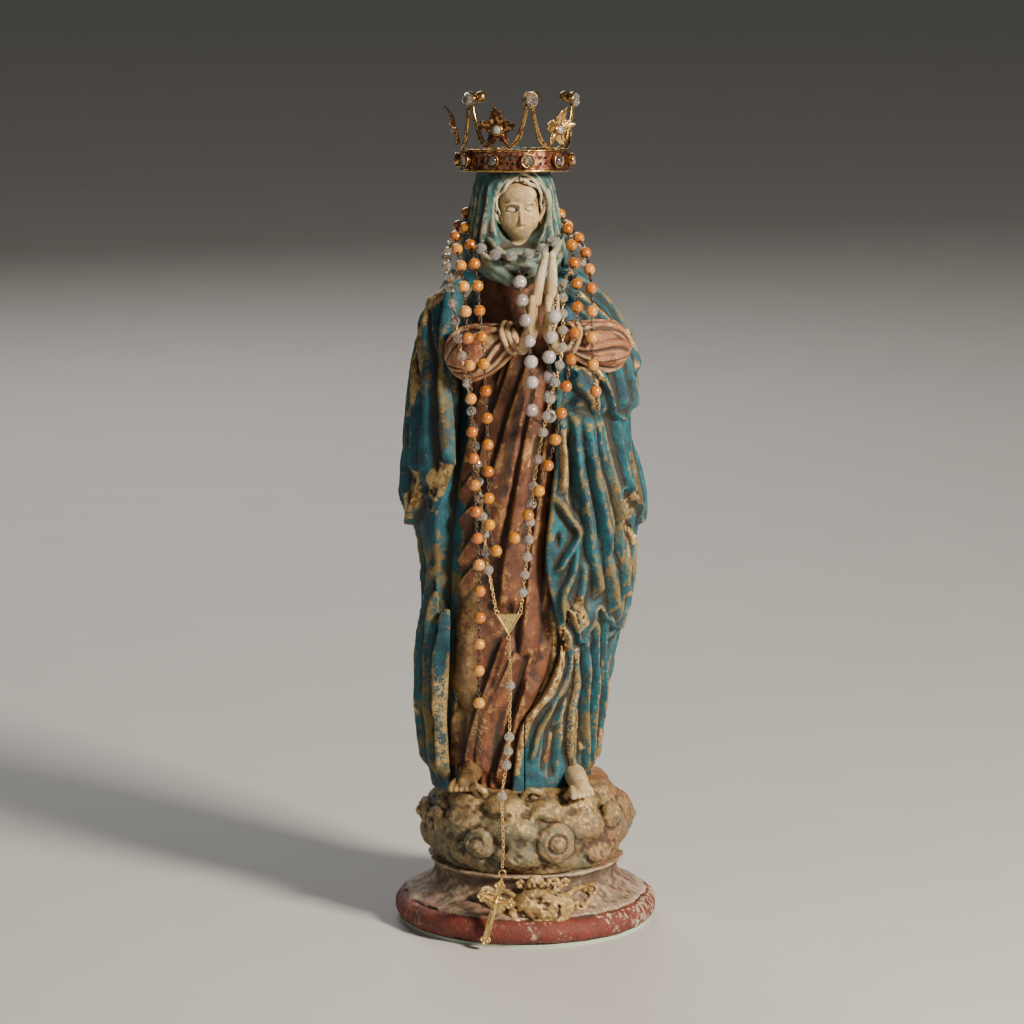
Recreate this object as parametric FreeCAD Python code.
"""Madonna statue: a painted plaster figure on a cloud and a turned plinth, with a lift-off crown and rosaries.

Row frame: millimetres, +Z up, origin at the centre of the plinth's underside, the figure faces -Y.
The plaster castings are plain lofts and revolves here. The crown is a real piece of metalwork, and each
rosary is a tube along its true route with its beads threaded on it.
"""
import FreeCAD
import Part
import math
import os

Vec = FreeCAD.Vector

# ---- driving dimensions, mm -------------------------------------------------------------------
VEIL_TOP = 454.0          # floor to the top of the veil
FELT_R, FELT_T = 73.0, 2.0
PLINTH_R = 76.5
PLINTH_TOP = 38.0
CLOUD_TOP = 86.0
CAVITY_R = 40.0           # the hollow inside the plinth and the cloud
WALL = 8.0                # plaster wall of the hollow figure
GAP = 0.3                 # clearance between castings that are glued together

HEAD = Vec(-5.0, -4.0, 424.0)
VEIL_X, VEIL_Y = -7.0, 2.0

CROWN = Vec(-6.5, 1.0, 439.5)   # centre of the crown's lower edge
BAND_R = 31.0                   # outside of the band
BAND_T = 0.9
BAND_H = 13.0
RIM_WIRE_R = 0.8
CROWN_TILT_DEG = 5.5            # the crown sits lower at the back
ARCH_DEG = (-49.0, 15.0, 80.0)  # azimuths of the arches, to the right of the front
LEAF_DEG = (-93.0, -17.0, 47.0) # and of the leaves between them; the back of the band is plain
SETTINGS, FIRST_SETTING_DEG = 10, 13.0
STONE_R = 3.3
LEAF_WIDE, LEAF_TALL = 19.0, 23.0
ARCH_STONE_R, BALL_R = 4.2, 3.3

CHAIN_D = 2.2                   # jack chain across its links
AMBER_R, QUARTZ_R, CRYSTAL_R, CHOKER_R = 3.5, 4.0, 3.0, 3.5

PARTS = "parts"


# ---- small helpers ----------------------------------------------------------------------------
def save(name, *shapes):
    """Writes one node. Several shapes become separate solids of the same node."""
    shape = shapes[0] if len(shapes) == 1 else Part.makeCompound(list(shapes))
    shape.exportStep(os.path.join(PARTS, name + ".step"))


def spline_wire(points):
    """A closed smooth curve through the points."""
    curve = Part.BSplineCurve()
    curve.interpolate(points, PeriodicFlag=True)
    return Part.Wire([curve.toShape()])


def oval(section, grow=0.0, folds=0, depth=0.0, count=36):
    """Closed wire of one section (z, centre x, centre y, half width, half depth), with shallow folds."""
    z, cx, cy, rx, ry = section
    points = []
    for i in range(count):
        a = 2 * math.pi * i / count
        wave = 1 + depth * math.cos(folds * a)
        points.append(Vec(cx + (rx + grow) * wave * math.cos(a), cy + (ry + grow) * wave * math.sin(a), z))
    return spline_wire(points)


def loft(sections, **how):
    return Part.makeLoft([oval(s, **how) for s in sections], True, False)


def ellipsoid(centre, rx, ry, rz):
    ball = Part.makeSphere(1.0)
    matrix = FreeCAD.Matrix()
    matrix.scale(rx, ry, rz)
    ball = ball.transformGeometry(matrix)
    ball.translate(centre)
    return ball


def turned(profile, centre=Vec(0, 0, 0)):
    """Solid of revolution about Z from a list of edges in the XZ plane that closes on itself."""
    solid = Part.Face(Part.Wire(profile)).revolve(Vec(0, 0, 0), Vec(0, 0, 1), 360)
    if solid.Volume < 0:
        solid.reverse()
    solid.translate(centre)
    return solid


def line(a, b):
    return Part.LineSegment(Vec(a[0], 0, a[1]), Vec(b[0], 0, b[1])).toShape()


def arc(a, mid, b):
    return Part.Arc(Vec(a[0], 0, a[1]), Vec(mid[0], 0, mid[1]), Vec(b[0], 0, b[1])).toShape()


def limb(a, b, ra, rb):
    """A tapered round limb between two points, with ball ends."""
    axis = b - a
    if ra == rb:
        body = Part.makeCylinder(ra, axis.Length, a, axis)
    else:
        body = Part.makeCone(ra, rb, axis.Length, a, axis)
    return body.fuse([Part.makeSphere(ra, a), Part.makeSphere(rb, b)]).removeSplitter()


# ---- plinth and cloud -------------------------------------------------------------------------
def base_felt():
    return Part.makeCylinder(FELT_R, FELT_T)


def plinth():
    """A torus rim, a step, a scotia and a small flare that carries the cloud."""
    foot, rim = (74.0, FELT_T), (73.6, 14.5)
    step, throat, lip = (71.0, 16.5), (55.5, 30.5), (60.5, PLINTH_TOP)
    return turned([
        line((CAVITY_R, FELT_T), foot),
        arc(foot, (PLINTH_R, 8.0), rim),
        line(rim, step),
        arc(step, (59.5, 21.5), throat),
        arc(throat, (56.5, 35.0), lip),
        line(lip, (CAVITY_R, PLINTH_TOP)),
        line((CAVITY_R, PLINTH_TOP), (CAVITY_R, FELT_T)),
    ])


def cloud_mound():
    """A bulging ring of cloud, closed over at the top where the figure stands."""
    low, wide, top = PLINTH_TOP, 55.0, CLOUD_TOP
    body = turned([
        line((CAVITY_R, low), (61.0, low)),
        arc((61.0, low), (64.0, wide), (50.0, 76.0)),
        arc((50.0, 76.0), (35.0, 83.0), (20.0, top)),
        line((20.0, top), (0, top)),
        line((0, top), (0, top - WALL)),
        line((0, top - WALL), (CAVITY_R, top - 2 * WALL)),
        line((CAVITY_R, top - 2 * WALL), (CAVITY_R, low)),
    ])
    billow_r, ring_r = 13.5, 51.5
    billows = []
    for i in range(11):
        a = math.radians(-90 + i * 360.0 / 11)
        z = 58.0 + 4.0 * math.cos(2.3 * i)
        billows.append(Part.makeSphere(billow_r, Vec(ring_r * math.cos(a), ring_r * math.sin(a), z)))
    return body.fuse(billows)


def plinth_cartouche(base, cloud):
    """The gilded shell on the front of the plinth, with its two scrolls."""
    shell = ellipsoid(Vec(11.0, -60.0, 20.0), 17.0, 13.0, 15.0)
    left = Part.makeTorus(4.5, 2.6, Vec(-25.0, -55.0, 26.0), Vec(-0.4, -1, 0.2))
    right = Part.makeTorus(4.5, 2.6, Vec(39.0, -44.5, 26.0), Vec(0.8, -1, 0.2))
    cutter = turned([line((0, FELT_T), (75, FELT_T)), line((75, FELT_T), (75, 1)), line((75, 1), (0, 1)),
                     line((0, 1), (0, FELT_T))])
    shape = shell.fuse([left, right]).cut(base).cut(cloud).cut(cutter)
    outer = [s for s in shape.Solids if s.CenterOfMass.Length > 55]
    return outer


# ---- the figure -------------------------------------------------------------------------------
# (z, centre x, centre y, half width, half depth)
GOWN = [
    (CLOUD_TOP - 6.0, -8.0, 0.0, 41.0, 34.0),
    (125.0, -8.0, 0.0, 43.0, 35.0),
    (190.0, -5.0, 0.0, 45.0, 36.0),
    (260.0, -3.0, 0.0, 44.0, 36.0),
    (325.0, -2.0, 0.0, 40.0, 32.0),
    (362.0, -4.0, 0.0, 37.0, 27.0),
    (385.0, -6.0, 0.0, 29.0, 21.0),
]
MANTLE = [
    (CLOUD_TOP - 6.0, -9.0, 3.0, 46.5, 40.0),
    (125.0, -9.0, 3.0, 52.5, 42.0),
    (190.0, -2.0, 3.0, 60.0, 44.0),
    (243.0, -1.5, 3.0, 70.0, 46.0),
    (325.0, 0.0, 3.0, 64.5, 42.0),
    (360.0, -3.0, 3.0, 53.0, 35.0),
    (383.0, -7.0, 3.0, 37.0, 26.5),
]
VEIL = [
    (385.3, VEIL_X, VEIL_Y, 31.0, 25.0),
    (397.0, VEIL_X, VEIL_Y, 25.0, 25.5),
    (410.0, VEIL_X, VEIL_Y, 24.0, 25.5),
    (425.0, VEIL_X, VEIL_Y, 23.0, 24.5),
    (440.0, VEIL_X, VEIL_Y, 22.0, 23.5),
    (449.0, VEIL_X, VEIL_Y, 17.0, 18.0),
    (VEIL_TOP, VEIL_X, VEIL_Y, 6.0, 6.0),
]
ROOM = [(92.0, -8.0, 0.0, 31.0, 25.0), (190.0, -5.0, 0.0, 36.0, 27.0), (260.0, -3.0, 0.0, 35.0, 27.0),
        (325.0, -2.0, 0.0, 30.0, 23.0), (366.0, -4.0, 0.0, 22.0, 15.0)]


def gown_body(cloud):
    shell = loft(GOWN, folds=14, depth=0.022, count=84)
    return shell.cut(loft(ROOM, count=24)).cut(cloud)


def mantle_shell(cloud):
    """The whole mantle as a shell round the gown, before it is opened at the front and split in two."""
    outside = loft(MANTLE, folds=17, depth=0.018, count=102)
    around_gown = [(z, x, y, rx * 1.04 + GAP, ry * 1.04 + GAP) for z, x, y, rx, ry in GOWN]
    around_gown[0] = (GOWN[0][0] - 2.0,) + around_gown[0][1:]
    return outside.cut(loft(around_gown, count=24)).cut(cloud)


def sector(first_deg, last_deg):
    """A wedge of space between two azimuths, counted from +X, for cutting the mantle."""
    reach, centre = 200.0, (MANTLE[2][1], MANTLE[2][2])
    steps = [first_deg + (last_deg - first_deg) * i / 4 for i in range(5)]
    rim = [Vec(centre[0] + reach * math.cos(math.radians(a)), centre[1] + reach * math.sin(math.radians(a)), 0)
           for a in steps]
    corners = [Vec(centre[0], centre[1], 0)] + rim
    wedge = Part.Face(Part.makePolygon(corners + [corners[0]])).extrude(Vec(0, 0, 500))
    return wedge


def head():
    skull = ellipsoid(HEAD, 16.5, 19.5, 24.5)
    neck = Part.makeCylinder(9.5, 22.0, Vec(HEAD.x - 1, HEAD.y + 5, 386.0))
    nose = limb(HEAD + Vec(1, -18.0, 2), HEAD + Vec(1, -20.0, -5), 1.2, 2.0)
    return skull.fuse([neck, nose]).removeSplitter()


def veil(face):
    hood = loft(VEIL, count=32)
    opening = ellipsoid(HEAD + Vec(1, -14, -4), 15.5, 20.0, 21.0)
    hollow = ellipsoid(HEAD, 16.5 + GAP, 19.5 + GAP, 24.5 + GAP)
    neck = Part.makeCylinder(9.5 + GAP, 30.0, Vec(HEAD.x - 1, HEAD.y + 5, 380.0))
    return hood.cut([opening, hollow, neck]).cut(face)


def sleeve(elbow, wrist, elbow_r, wrist_r):
    """The wide sleeve of one forearm, open at the wrist."""
    arm = limb(elbow, wrist, elbow_r, wrist_r)
    axis = wrist - elbow
    axis.normalize()
    mouth = Part.makeCone(wrist_r - 4.5, wrist_r - 1.5, 12.0, wrist + axis * (wrist_r - 10.0), axis)
    return arm.cut(mouth)


def hand(side):
    """One of the praying hands. side is -1 for the viewer's left, 1 for the right."""
    heel = Vec(7.5 + side * 3.6, -47.0, 356.0)
    knuckle = Vec(9.5 + side * 3.9, -47.5, 374.0)
    tip = Vec(12.8 + side * 1.6, -46.5, 397.0)
    palm_r, finger_r = 3.0, 1.3
    palm = limb(heel, knuckle, palm_r, palm_r)
    fingers = [limb(knuckle + Vec(0, dy * 2.2, 0), tip + Vec(0, dy * 1.7, -abs(dy)), finger_r + 0.5, finger_r)
               for dy in (-1, 0, 1, 2)]
    thumb = limb(heel + Vec(side * 0.8, -3.0, 5.0), knuckle + Vec(side * 0.2, -5.5, 4.0), 1.7, 1.2)
    return palm.fuse(fingers + [thumb])


def hand_wire(side):
    """The iron wire that pins a hand into its forearm."""
    start = Vec(7.5 + side * 3.6, -47.0, 362.0)
    end = Vec(7.5 + side * 20.0, -40.0, 347.0)
    return Part.makeCylinder(0.8, (end - start).Length, start, end - start)


def foot(x, y, z, length):
    return ellipsoid(Vec(x, y, z), 9.5, length, 7.0)


def core_rod():
    """Iron rod cast into the hollow, from the cloud to the neck."""
    return Part.makeCylinder(3.0, 296.0, Vec(-5.0, 4.0, 86.0))


# ---- the crown --------------------------------------------------------------------------------
def about(shape, azimuth_deg, radius, z):
    """Places a shape that was modelled along +Z so that its +Z points outwards from the crown."""
    shape.rotate(Vec(0, 0, 0), Vec(1, 0, 0), 90)
    shape.translate(Vec(0, -radius, z))
    shape.rotate(Vec(0, 0, 0), Vec(0, 0, 1), azimuth_deg)
    shape.translate(CROWN)
    return shape


def setting_azimuths():
    return [FIRST_SETTING_DEG + i * 360.0 / SETTINGS for i in range(SETTINGS)]


def on_crown(azimuth_deg, radius, z):
    a = math.radians(azimuth_deg)
    return CROWN + Vec(radius * math.sin(a), -radius * math.cos(a), z)


def save_tilted(name, *shapes):
    """Writes one node of the crown, leaned back about the middle of its lower edge."""
    for shape in shapes:
        shape.rotate(CROWN, Vec(1, 0, 0), -CROWN_TILT_DEG)
    save(name, *shapes)


def crown_band():
    low, high = 2 * RIM_WIRE_R, BAND_H - 2 * RIM_WIRE_R
    ring = Part.makeCylinder(BAND_R, high - low, CROWN + Vec(0, 0, low))
    ring = ring.cut(Part.makeCylinder(BAND_R - BAND_T, BAND_H, CROWN))
    hole_r, step = 0.85, 1.55
    holes = []
    for azimuth in setting_azimuths():
        middle = azimuth + 180.0 / SETTINGS
        for side in (-1, 1):
            for up in (-1, 1):
                drill = Part.makeCylinder(hole_r, 6.0)
                lean = math.degrees(side * step / BAND_R)
                holes.append(about(drill, middle + lean, BAND_R - 3.0, BAND_H / 2 + up * step))
    return ring.cut(holes)


def crown_rim(z):
    return Part.makeTorus(BAND_R - BAND_T / 2, RIM_WIRE_R, CROWN + Vec(0, 0, z))


def collet(azimuth, radius, z, outer_r, stone_r, height):
    cup = Part.makeCylinder(outer_r, height)
    cup = cup.cut(Part.makeCylinder(stone_r + 0.05, height, Vec(0, 0, 0.6)))
    return about(cup, azimuth, radius, z)


def cabochon(azimuth, radius, z, stone_r, height):
    side = 0.4 * height
    rise = height - side
    ball_r = (stone_r ** 2 + rise ** 2) / (2 * rise)
    ball = Part.makeSphere(ball_r, Vec(0, 0, height - ball_r))
    return about(ball.common(Part.makeCylinder(stone_r, height)), azimuth, radius, z)


def cut_stone(azimuth, radius, z, stone_r, height):
    """A round stone with a flat table and eight facets."""
    def ring(r, at):
        corners = [Vec(r * math.cos(k * math.pi / 4), r * math.sin(k * math.pi / 4), at) for k in range(9)]
        return Part.makePolygon(corners)
    girdle = Part.makeLoft([ring(0.75 * stone_r, 0), ring(stone_r, 0.5 * height)], True, True)
    table = Part.makeLoft([ring(stone_r, 0.5 * height), ring(0.55 * stone_r, height)], True, True)
    return about(girdle.fuse(table), azimuth, radius, z)


def arch_leg(azimuth, side):
    """One bowed wire leg of an arch, from the rim up to just under the stone's cup."""
    foot_at = on_crown(azimuth + side * 21.0, BAND_R - 0.4, BAND_H + 0.75)
    middle = on_crown(azimuth + side * 6.5, BAND_R + 1.4, BAND_H + 10.5)
    top = on_crown(azimuth + side * 2.2, BAND_R + 2.4, BAND_H + 24.0)
    path = Part.Wire([Part.Arc(foot_at, middle, top).toShape()])
    normal = path.Edges[0].tangentAt(path.Edges[0].FirstParameter)
    ring = Part.Wire([Part.makeCircle(0.85, foot_at, normal)])
    return path.makePipeShell([ring], True, False)


def leaf_outline(width, height):
    """A five-lobed pressed leaf in the XY plane, its foot at the origin."""
    right = [(1.2, 0.0), (1.6, 2.0), (0.50 * width, 0.16 * height), (0.30 * width, 0.30 * height),
             (0.54 * width, 0.46 * height), (0.26 * width, 0.55 * height), (0.36 * width, 0.78 * height),
             (0.12 * width, 0.78 * height), (0.0, height)]
    left = [(-x, y) for x, y in reversed(right[:-1])]
    corners = [Vec(x, y, 0) for x, y in right + left]
    return Part.makePolygon(corners + [corners[0]])


def leaf(azimuth):
    """A pressed leaf that stands on the rim and leans out."""
    plate = Part.Face(leaf_outline(LEAF_WIDE, LEAF_TALL)).extrude(Vec(0, 0, 0.7))
    plate.rotate(Vec(0, 0, 0), Vec(1, 0, 0), -12)
    return about(plate, azimuth, BAND_R - 0.8, BAND_H + 0.1)


def tab(azimuth):
    """A brass tongue on the inside of the band that rests on the veil and carries the crown."""
    strip = Part.makeBox(4.0, 11.0, 0.8, Vec(-2.0, 0, 0))
    strip.translate(Vec(0, -(BAND_R - BAND_T - 0.15), BAND_H - 3.2))
    strip.rotate(Vec(0, 0, 0), Vec(0, 0, 1), azimuth)
    strip.translate(CROWN)
    return strip


# ---- rosaries ---------------------------------------------------------------------------------
# Each route is a list of points chosen by hand. scene.py repeats them in metres.
AMBER_ROUTE = [
    (-15, -59, 226), (-20.5, -58, 236), (-21.3, -58, 258), (-21.5, -58, 286), (-22.5, -58.5, 316),
    (-24, -58, 341), (-26, -52, 363), (-28, -37, 385), (-32, -17, 401), (-36.5, 2, 412), (-29, 23, 420),
    (-13, 34, 423), (6, 31, 422), (19, 17, 415), (25, -4, 404), (27, -25, 392), (29.5, -44, 374),
    (27.5, -56, 352), (23, -60, 328), (18.5, -62, 303), (12.5, -62.5, 280), (5.5, -62.5, 260), (-3, -62, 243),
    (-11, -61, 231),
]
PEACH_ROUTE = [
    (41, -50, 304), (39.5, -52, 320), (37.5, -53, 336), (37, -51.5, 353), (37.3, -44, 370), (36.5, -25, 385.5),
    (33, -3, 398), (24, 18, 407), (9, 33, 412), (-12, 38, 413), (-30, 30, 411), (-40, 10, 407),
    (-40.5, -13, 400), (-37, -31, 391), (-35, -46, 377), (-33.5, -55.5, 357), (-31.5, -58, 334),
    (-31, -58.3, 305), (-29.3, -58, 276), (-28.4, -57.5, 248), (-26.5, -57, 220), (-26.3, -57.5, 191),
    (-27, -57.5, 162), (-26.8, -57.5, 136), (-26.3, -58, 111),
]
CRYSTAL_ROUTE = [
    (-17, -58, 194.8), (-19, -57, 206), (-22.5, -53, 224), (-24.5, -51, 247), (-27.4, -51, 272),
    (-29.5, -51, 297), (-32.5, -51, 322), (-37.5, -50, 346), (-41, -45, 366), (-43, -33, 380),
    (-46, -14, 389), (-45, 10, 395), (-34, 31, 402), (-15, 42, 405), (6, 41, 404), (24, 29, 400),
    (34.5, 10, 392), (31, -11, 386.5), (22.5, -28, 384), (20.5, -41, 374), (21, -52, 358), (20, -61.3, 340),
    (14.5, -61, 321), (10.5, -57.5, 303), (7, -55.5, 285), (4, -55, 266), (2.5, -55, 248), (1.5, -56, 231),
    (-1, -57, 214), (-3, -58, 194.8),
]
QUARTZ_ROUTE = [
    (-4, -40, 389), (-3.5, -51, 377), (0, -58, 362), (2.5, -60, 344), (3.3, -59.5, 327), (3, -56.5, 315),
    (3.2, -54.5, 307), (6.5, -53, 303), (11.3, -52, 303), (14, -51.5, 307), (13.3, -52.5, 316),
    (12.8, -55.5, 332), (13, -58.5, 347), (15.5, -59.5, 361), (17, -54.5, 373), (17.5, -46, 383),
]
CHOKER_ROUTE = [
    (-29.5, -23.5, 401.5), (-23.5, -29, 397), (-16, -32, 395.5), (-5, -34, 395), (6, -31, 397), (14, -24, 401),
    (20, -15, 406),
]
PENDANT_ROUTE = [
    (-9.8, -58, 179.4), (-8.8, -58, 162), (-9.2, -58.5, 142), (-9.4, -59.5, 122), (-11, -62.5, 105),
    (-14, -67, 91), (-13.5, -70, 76), (-12.8, -72, 60), (-13.6, -72, 47.4),
]


def route_wire(points, name):
    """Straight runs joined by tangent arcs, each as large as its two runs allow."""
    corners = [Vec(*p) for p in points]
    edges, at, smallest = [], corners[0], 1e9
    for before, here, after in zip(corners, corners[1:], corners[2:]):
        into, out = here - before, after - here
        shorter = min(into.Length, out.Length)
        into.normalize()
        out.normalize()
        half = math.acos(max(-1.0, min(1.0, into.dot(out)))) / 2
        reach = 0.45 * shorter
        radius = reach / math.tan(half)
        smallest = min(smallest, radius)
        start, stop = here - into * reach, here + out * reach
        inward = (out - into)
        inward.normalize()
        middle = here + inward * (math.hypot(radius, reach) - radius)
        edges += [Part.LineSegment(at, start).toShape(), Part.Arc(start, middle, stop).toShape()]
        at = stop
    edges.append(Part.LineSegment(at, corners[-1]).toShape())
    wire = Part.Wire(edges)
    print(f"{name}: length {wire.Length:.0f} mm, smallest radius {smallest:.1f} mm")
    return wire


def chain(wire):
    """The plain tube that stands for a chain."""
    first = wire.Edges[0]
    start, along = first.Vertexes[0].Point, first.tangentAt(first.FirstParameter)
    ring = Part.Wire([Part.makeCircle(CHAIN_D / 2, start, along)])
    tube = wire.makePipeShell([ring], True, False)
    if tube.Volume < 0:
        tube.reverse()
    want = math.pi * (CHAIN_D / 2) ** 2 * wire.Length
    if abs(tube.Volume / want - 1) > 0.03:
        print(f"  tube volume {tube.Volume:.0f} is not {want:.0f}")
    return tube


def points_on(wire, distances):
    """The points that lie these distances along a wire."""
    fine = wire.discretize(Number=int(wire.Length * 4) + 2)
    step = wire.Length / (len(fine) - 1)
    return [fine[int(round(d / step))] for d in distances if 0 < d < wire.Length]


def decades(first, last, pitch, group, gap):
    """Distances of beads in groups, with a single bead in the middle of the gap after each group."""
    found, at, n = [], first, 0
    while at < last:
        found.append(at)
        n += 1
        if n % (group + 1) == group:
            at += gap
        elif n % (group + 1) == 0:
            at += gap
        else:
            at += pitch
    return found


def beads(wire, distances, radius):
    return [Part.makeSphere(radius, p) for p in points_on(wire, distances)]


def ring_at(centre, axis, radius, wire_r):
    return Part.makeTorus(radius, wire_r, centre, axis)


# ---- the pendant's end: medal and crucifix ----------------------------------------------------
MEDAL = Vec(-10.0, -58.6, 187.0)
CROSS_TOP = Vec(-13.6, -72.0, 42.5)     # where the crucifix hangs
CROSS_LEAN_DEG = 15.0                   # its foot lies to the viewer's left
CROSS_PITCH_DEG = 8.0                   # and stands away from the plinth
CROSS_LONG, CROSS_WIDE, BAR, CROSS_T = 41.0, 23.0, 4.2, 1.8


def centre_medal():
    half, tall = 7.5, 13.0
    corners = [Vec(-half, 0, tall / 2), Vec(half, 0, tall / 2), Vec(0, 0, -tall / 2)]
    plate = Part.Face(Part.makePolygon(corners + [corners[0]])).extrude(Vec(0, 1.2, 0))
    plate.translate(MEDAL)
    return plate


def pose_cross(shape):
    """From the crucifix's own frame, hanging down from the origin in the XZ plane, to its place."""
    shape.rotate(Vec(0, 0, 0), Vec(1, 0, 0), -CROSS_PITCH_DEG)
    shape.rotate(Vec(0, 0, 0), Vec(0, 1, 0), CROSS_LEAN_DEG)
    shape.translate(CROSS_TOP)
    return shape


def crucifix_cross():
    """Flat cross with round ends and a drilled lug at the top."""
    hole_r, lug_r = 1.1, 2.0
    upright = Part.makeBox(BAR, CROSS_T, CROSS_LONG - 4.0, Vec(-BAR / 2, -CROSS_T / 2, -CROSS_LONG + 2.0))
    across = Part.makeBox(CROSS_WIDE - 4.0, CROSS_T, BAR, Vec(-CROSS_WIDE / 2 + 2.0, -CROSS_T / 2, -16.0))
    ends = [Part.makeCylinder(2.9, CROSS_T, Vec(x, -CROSS_T / 2, z), Vec(0, 1, 0))
            for x, z in ((-CROSS_WIDE / 2 + 2.9, -13.9), (CROSS_WIDE / 2 - 2.9, -13.9),
                         (0, -4.2), (0, -CROSS_LONG + 2.9))]
    lug = Part.makeCylinder(lug_r, 1.2, Vec(-0.6, 0, 0), Vec(1, 0, 0))
    body = upright.fuse([across] + ends + [lug]).removeSplitter()
    return pose_cross(body.cut(Part.makeCylinder(hole_r, 4.0, Vec(-2.0, 0, 0), Vec(1, 0, 0))))


def crucifix_figure():
    """The small cast figure on the cross: body, arms and head, with no features."""
    front = -CROSS_T / 2 - 1.05
    body = limb(Vec(0, front, -15.5), Vec(0.4, front, -29.0), 1.0, 0.8)
    arms = [limb(Vec(0, front, -15.5), Vec(s * 8.5, front, -12.6), 0.8, 0.6) for s in (-1, 1)]
    face = Part.makeSphere(1.25, Vec(0.3, front - 0.3, -13.6))
    return pose_cross(body.fuse(arms + [face]))


# ---- build ------------------------------------------------------------------------------------
def build_statue():
    base, cloud = plinth(), cloud_mound()
    save("base_felt", base_felt())
    save("plinth", base)
    save("plinth_cartouche", *plinth_cartouche(base, cloud))
    save("cloud_mound", cloud)
    rod = core_rod()
    gown = gown_body(cloud).cut(rod)
    shell = mantle_shell(cloud)
    left, right = shell.common(sector(90, 222)), shell.common(sector(-62, 90))
    save("gown_body", gown)
    save("mantle_left", left)
    save("mantle_right", right)
    face = head()
    save("head", face)
    save("veil", veil(face).cut([left, right, gown]))
    cut_by = [gown, left, right]
    wires = [hand_wire(side) for side in (-1, 1)]
    arm_left = sleeve(Vec(-41, -30, 341), Vec(-12, -42, 348), 11.0, 9.0).cut(cut_by + wires)
    arm_right = sleeve(Vec(46, -28, 343), Vec(27, -40, 348), 10.0, 9.0).cut(cut_by + wires)
    hands = [hand(side).cut([arm_left, arm_right] + cut_by + wires) for side in (-1, 1)]
    save("sleeve_left", arm_left)
    save("sleeve_right", arm_right)
    save("hand_left", hands[0])
    save("hand_right", hands[1])
    save("hand_wires", *wires)
    save("foot_left", foot(-35.0, -38.0, 92.0, 13.0).cut([cloud] + cut_by))
    save("foot_right", foot(31.0, -40.0, 88.0, 12.0).cut([cloud] + cut_by))
    save("core_rod", rod)


def build_crown():
    band_out = BAND_R + 0.05
    middle = BAND_H / 2
    clear, dark = setting_azimuths()[0::2], setting_azimuths()[1::2]
    save_tilted("crown_band", crown_band())
    save_tilted("crown_rim_lower", crown_rim(RIM_WIRE_R))
    save_tilted("crown_rim_upper", crown_rim(BAND_H - RIM_WIRE_R))
    save_tilted("crown_rest_tabs", *[tab(45 + 90 * k) for k in range(4)])
    save_tilted("band_collets", *[collet(a, band_out, middle, 4.3, STONE_R, 3.0) for a in clear + dark])
    save_tilted("band_garnets", *[cabochon(a, band_out + 0.65, middle, STONE_R, 3.4) for a in dark])
    save_tilted("band_crystals", *[cut_stone(a, band_out + 0.65, middle, STONE_R, 3.4) for a in clear])
    top_r, top_z = BAND_R + 2.4, BAND_H + 28.0
    cup_r = ARCH_STONE_R + 0.6
    legs = []
    for a in ARCH_DEG:
        under_cup = about(Part.makeCylinder(cup_r, 2.4), a, top_r - 1.2, top_z)
        legs += [arch_leg(a, side).cut(under_cup) for side in (-1, 1)]
    # the leaves are nicked where the feet of the arches pass them
    leaves = [max(leaf(a).cut(legs).Solids, key=lambda solid: solid.Volume) for a in LEAF_DEG]
    save_tilted("crown_arches", *legs)
    save_tilted("arch_cups", *[collet(a, top_r - 1.2, top_z, cup_r, ARCH_STONE_R, 2.4) for a in ARCH_DEG])
    save_tilted("arch_crystals", *[cut_stone(a, top_r - 0.5, top_z, ARCH_STONE_R, 5.0) for a in ARCH_DEG])
    balls = [Part.makeSphere(BALL_R, on_crown(a + 7, top_r - 4.7, top_z + 1.6)) for a in ARCH_DEG]
    save_tilted("arch_balls", *balls)
    save_tilted("leaf_finials", *leaves)
    collet_z = BAND_H + 11.0
    save_tilted("leaf_collets", *[collet(a, BAND_R + 2.8, collet_z, 3.3, 2.4, 1.6) for a in LEAF_DEG])
    save_tilted("leaf_pearls", *[cabochon(a, BAND_R + 3.45, collet_z, 2.4, 3.0) for a in LEAF_DEG])


def build_rosary(name, route, distances, radius):
    wire = route_wire(route, name)
    save(name + "_chain", chain(wire))
    save(name + "_beads", *beads(wire, distances, radius))
    return wire


def build_rosaries():
    build_rosary("amber", AMBER_ROUTE, decades(4.5, 518, 15.4, 10, 15.4), AMBER_R)
    build_rosary("peach", PEACH_ROUTE, decades(17, 540, 15.4, 10, 19.0), AMBER_R)
    build_rosary("crystal", CRYSTAL_ROUTE, decades(24, 590, 10.2, 10, 16.0), CRYSTAL_R)
    build_rosary("quartz", QUARTZ_ROUTE, decades(9, 175, 11.8, 6, 17.0), QUARTZ_R)
    build_rosary("choker", CHOKER_ROUTE, decades(6, 60, 9.6, 99, 10.0), CHOKER_R)
    build_rosary("pendant", PENDANT_ROUTE, [28.0, 58.0, 66.0, 74.0, 92.0], CRYSTAL_R)
    save("centre_medal", centre_medal())
    save("pendant_ring", ring_at(CROSS_TOP + Vec(0, 0, 1.9), Vec(0, 1, 0), 1.9, 0.45))
    save("crucifix_cross", crucifix_cross())
    save("crucifix_figure", crucifix_figure())


os.makedirs(PARTS, exist_ok=True)
build_statue()
build_crown()
build_rosaries()
